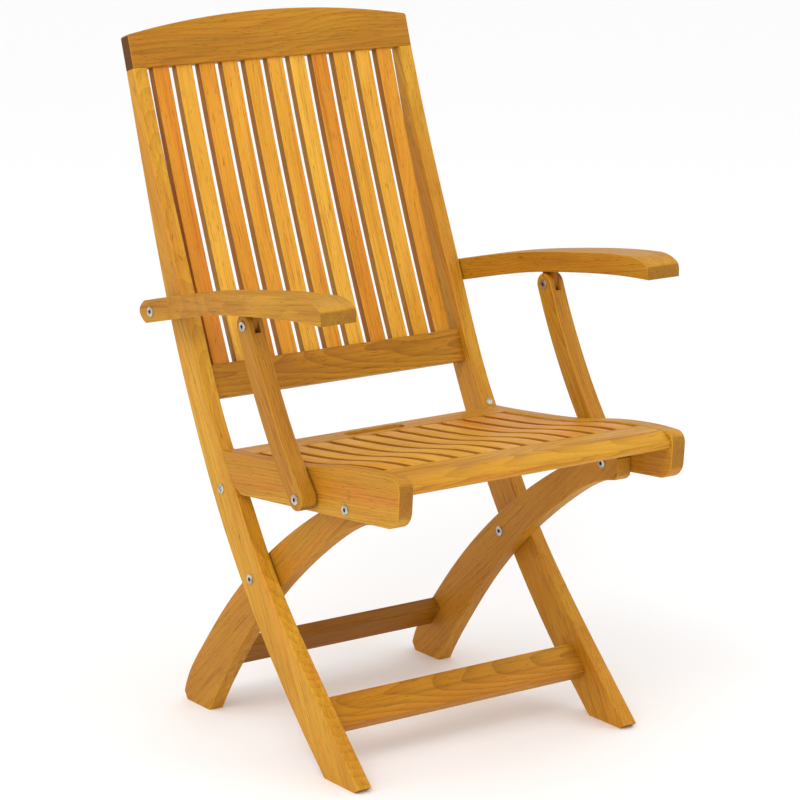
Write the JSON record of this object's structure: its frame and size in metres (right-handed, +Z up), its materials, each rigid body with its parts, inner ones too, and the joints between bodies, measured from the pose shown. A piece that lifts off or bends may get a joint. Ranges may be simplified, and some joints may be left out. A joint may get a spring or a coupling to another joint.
{
  "type": "folding armchair",
  "caption": "Folding wooden garden armchair with a high slatted back, a contoured slatted seat, arched arms on hinged supports and crossed curved legs.",
  "frame": {"origin": "centre of the chair's footprint box on the floor", "axes": "the chair faces -Y, +Z is up, +X is the sitter's left"},
  "size_m": [0.615, 0.7036, 1.0029],
  "materials": {
    "golden_wood": "oiled golden hardwood, satin",
    "slat_wood": "oiled golden hardwood, satin, each board a different tone",
    "brown_wood": "oiled brown hardwood, satin",
    "steel": "plated steel, satin",
    "nylon": "natural nylon, matt"
  },
  "bodies": {
    "back_frame": {"crest_rail": "brown_wood", "lower_back_rail": "brown_wood", "back_slat_01": "slat_wood", "back_slat_02": "slat_wood", "back_slat_03": "slat_wood", "back_slat_04": "slat_wood", "back_slat_05": "slat_wood", "back_slat_06": "slat_wood", "back_slat_07": "slat_wood", "back_slat_08": "slat_wood", "back_slat_09": "slat_wood", "back_slat_10": "slat_wood", "back_slat_11": "slat_wood", "post_right": "golden_wood", "post_left": "golden_wood", "post_stud": "steel", "front_stretcher": "golden_wood", "seat_rest_pins": "steel", "crossing_bolts": "steel", "crossing_nuts": "steel"},
    "leg_frame": {"curved_leg_right": "golden_wood", "curved_leg_left": "golden_wood", "rear_stretcher": "brown_wood", "pivot_washers": "nylon"},
    "seat": {"seat_slat_01": "slat_wood", "seat_slat_02": "slat_wood", "seat_slat_03": "slat_wood", "seat_slat_04": "slat_wood", "seat_slat_05": "slat_wood", "seat_slat_06": "slat_wood", "seat_slat_07": "slat_wood", "seat_slat_08": "slat_wood", "seat_slat_09": "slat_wood", "seat_slat_10": "slat_wood", "seat_slat_11": "slat_wood", "seat_rear_board": "golden_wood", "seat_front_rail": "golden_wood", "side_rail_right": "golden_wood", "side_rail_left": "golden_wood", "seat_hook_right": "steel", "seat_hook_left": "steel", "seat_hook_screws": "steel", "leg_top_bolts": "steel", "leg_top_nuts": "steel"},
    "arm_right": {"arm_right": "golden_wood", "arm_tab_right": "brown_wood", "arm_rear_bolt_right": "steel", "arm_rear_nut_right": "steel"},
    "arm_left": {"arm_left": "golden_wood", "arm_tab_left": "brown_wood", "arm_rear_bolt_left": "steel", "arm_rear_nut_left": "steel"},
    "support_right": {"arm_support_right": "golden_wood", "arm_front_bolt_right": "steel", "arm_front_nut_right": "steel", "support_foot_bolt_right": "steel"},
    "support_left": {"arm_support_left": "golden_wood", "arm_front_bolt_left": "steel", "arm_front_nut_left": "steel", "support_foot_bolt_left": "steel"}
  },
  "joints": [
    {"name": "leg_fold", "type": "hinge", "parent": "back_frame", "child": "leg_frame", "pos_m": [0, 0.00814, 0.2425], "axis": [-1, 0, 0], "range_deg": [0, 68]},
    {"name": "seat_fold", "type": "hinge", "parent": "leg_frame", "child": "seat", "pos_m": [0, -0.22786, 0.3975], "axis": [1, 0, 0], "range_deg": [0, 132.2]},
    {"name": "arm_fold_right", "type": "hinge", "parent": "back_frame", "child": "arm_right", "pos_m": [0, 0.19714, 0.602], "axis": [-1, 0, 0], "range_deg": [0, 87.91]},
    {"name": "arm_fold_left", "type": "hinge", "parent": "back_frame", "child": "arm_left", "pos_m": [0, 0.19714, 0.602], "axis": [-1, 0, 0], "range_deg": [0, 87.91]},
    {"name": "support_fold_right", "type": "hinge", "parent": "arm_right", "child": "support_right", "pos_m": [0, -0.02086, 0.617], "axis": [1, 0, 0], "range_deg": [0, 93.54]},
    {"name": "support_fold_left", "type": "hinge", "parent": "arm_left", "child": "support_left", "pos_m": [0, -0.02086, 0.617], "axis": [1, 0, 0], "range_deg": [0, 93.54]}
  ],
  "couplings": [
    {"joint": "seat_fold", "follows": "leg_fold", "ratio": 1.9412},
    {"joint": "arm_fold_right", "follows": "leg_fold", "ratio": 1.2898},
    {"joint": "arm_fold_left", "follows": "leg_fold", "ratio": 1.2898},
    {"joint": "support_fold_right", "follows": "leg_fold", "ratio": 1.3726},
    {"joint": "support_fold_left", "follows": "leg_fold", "ratio": 1.3726}
  ]
}
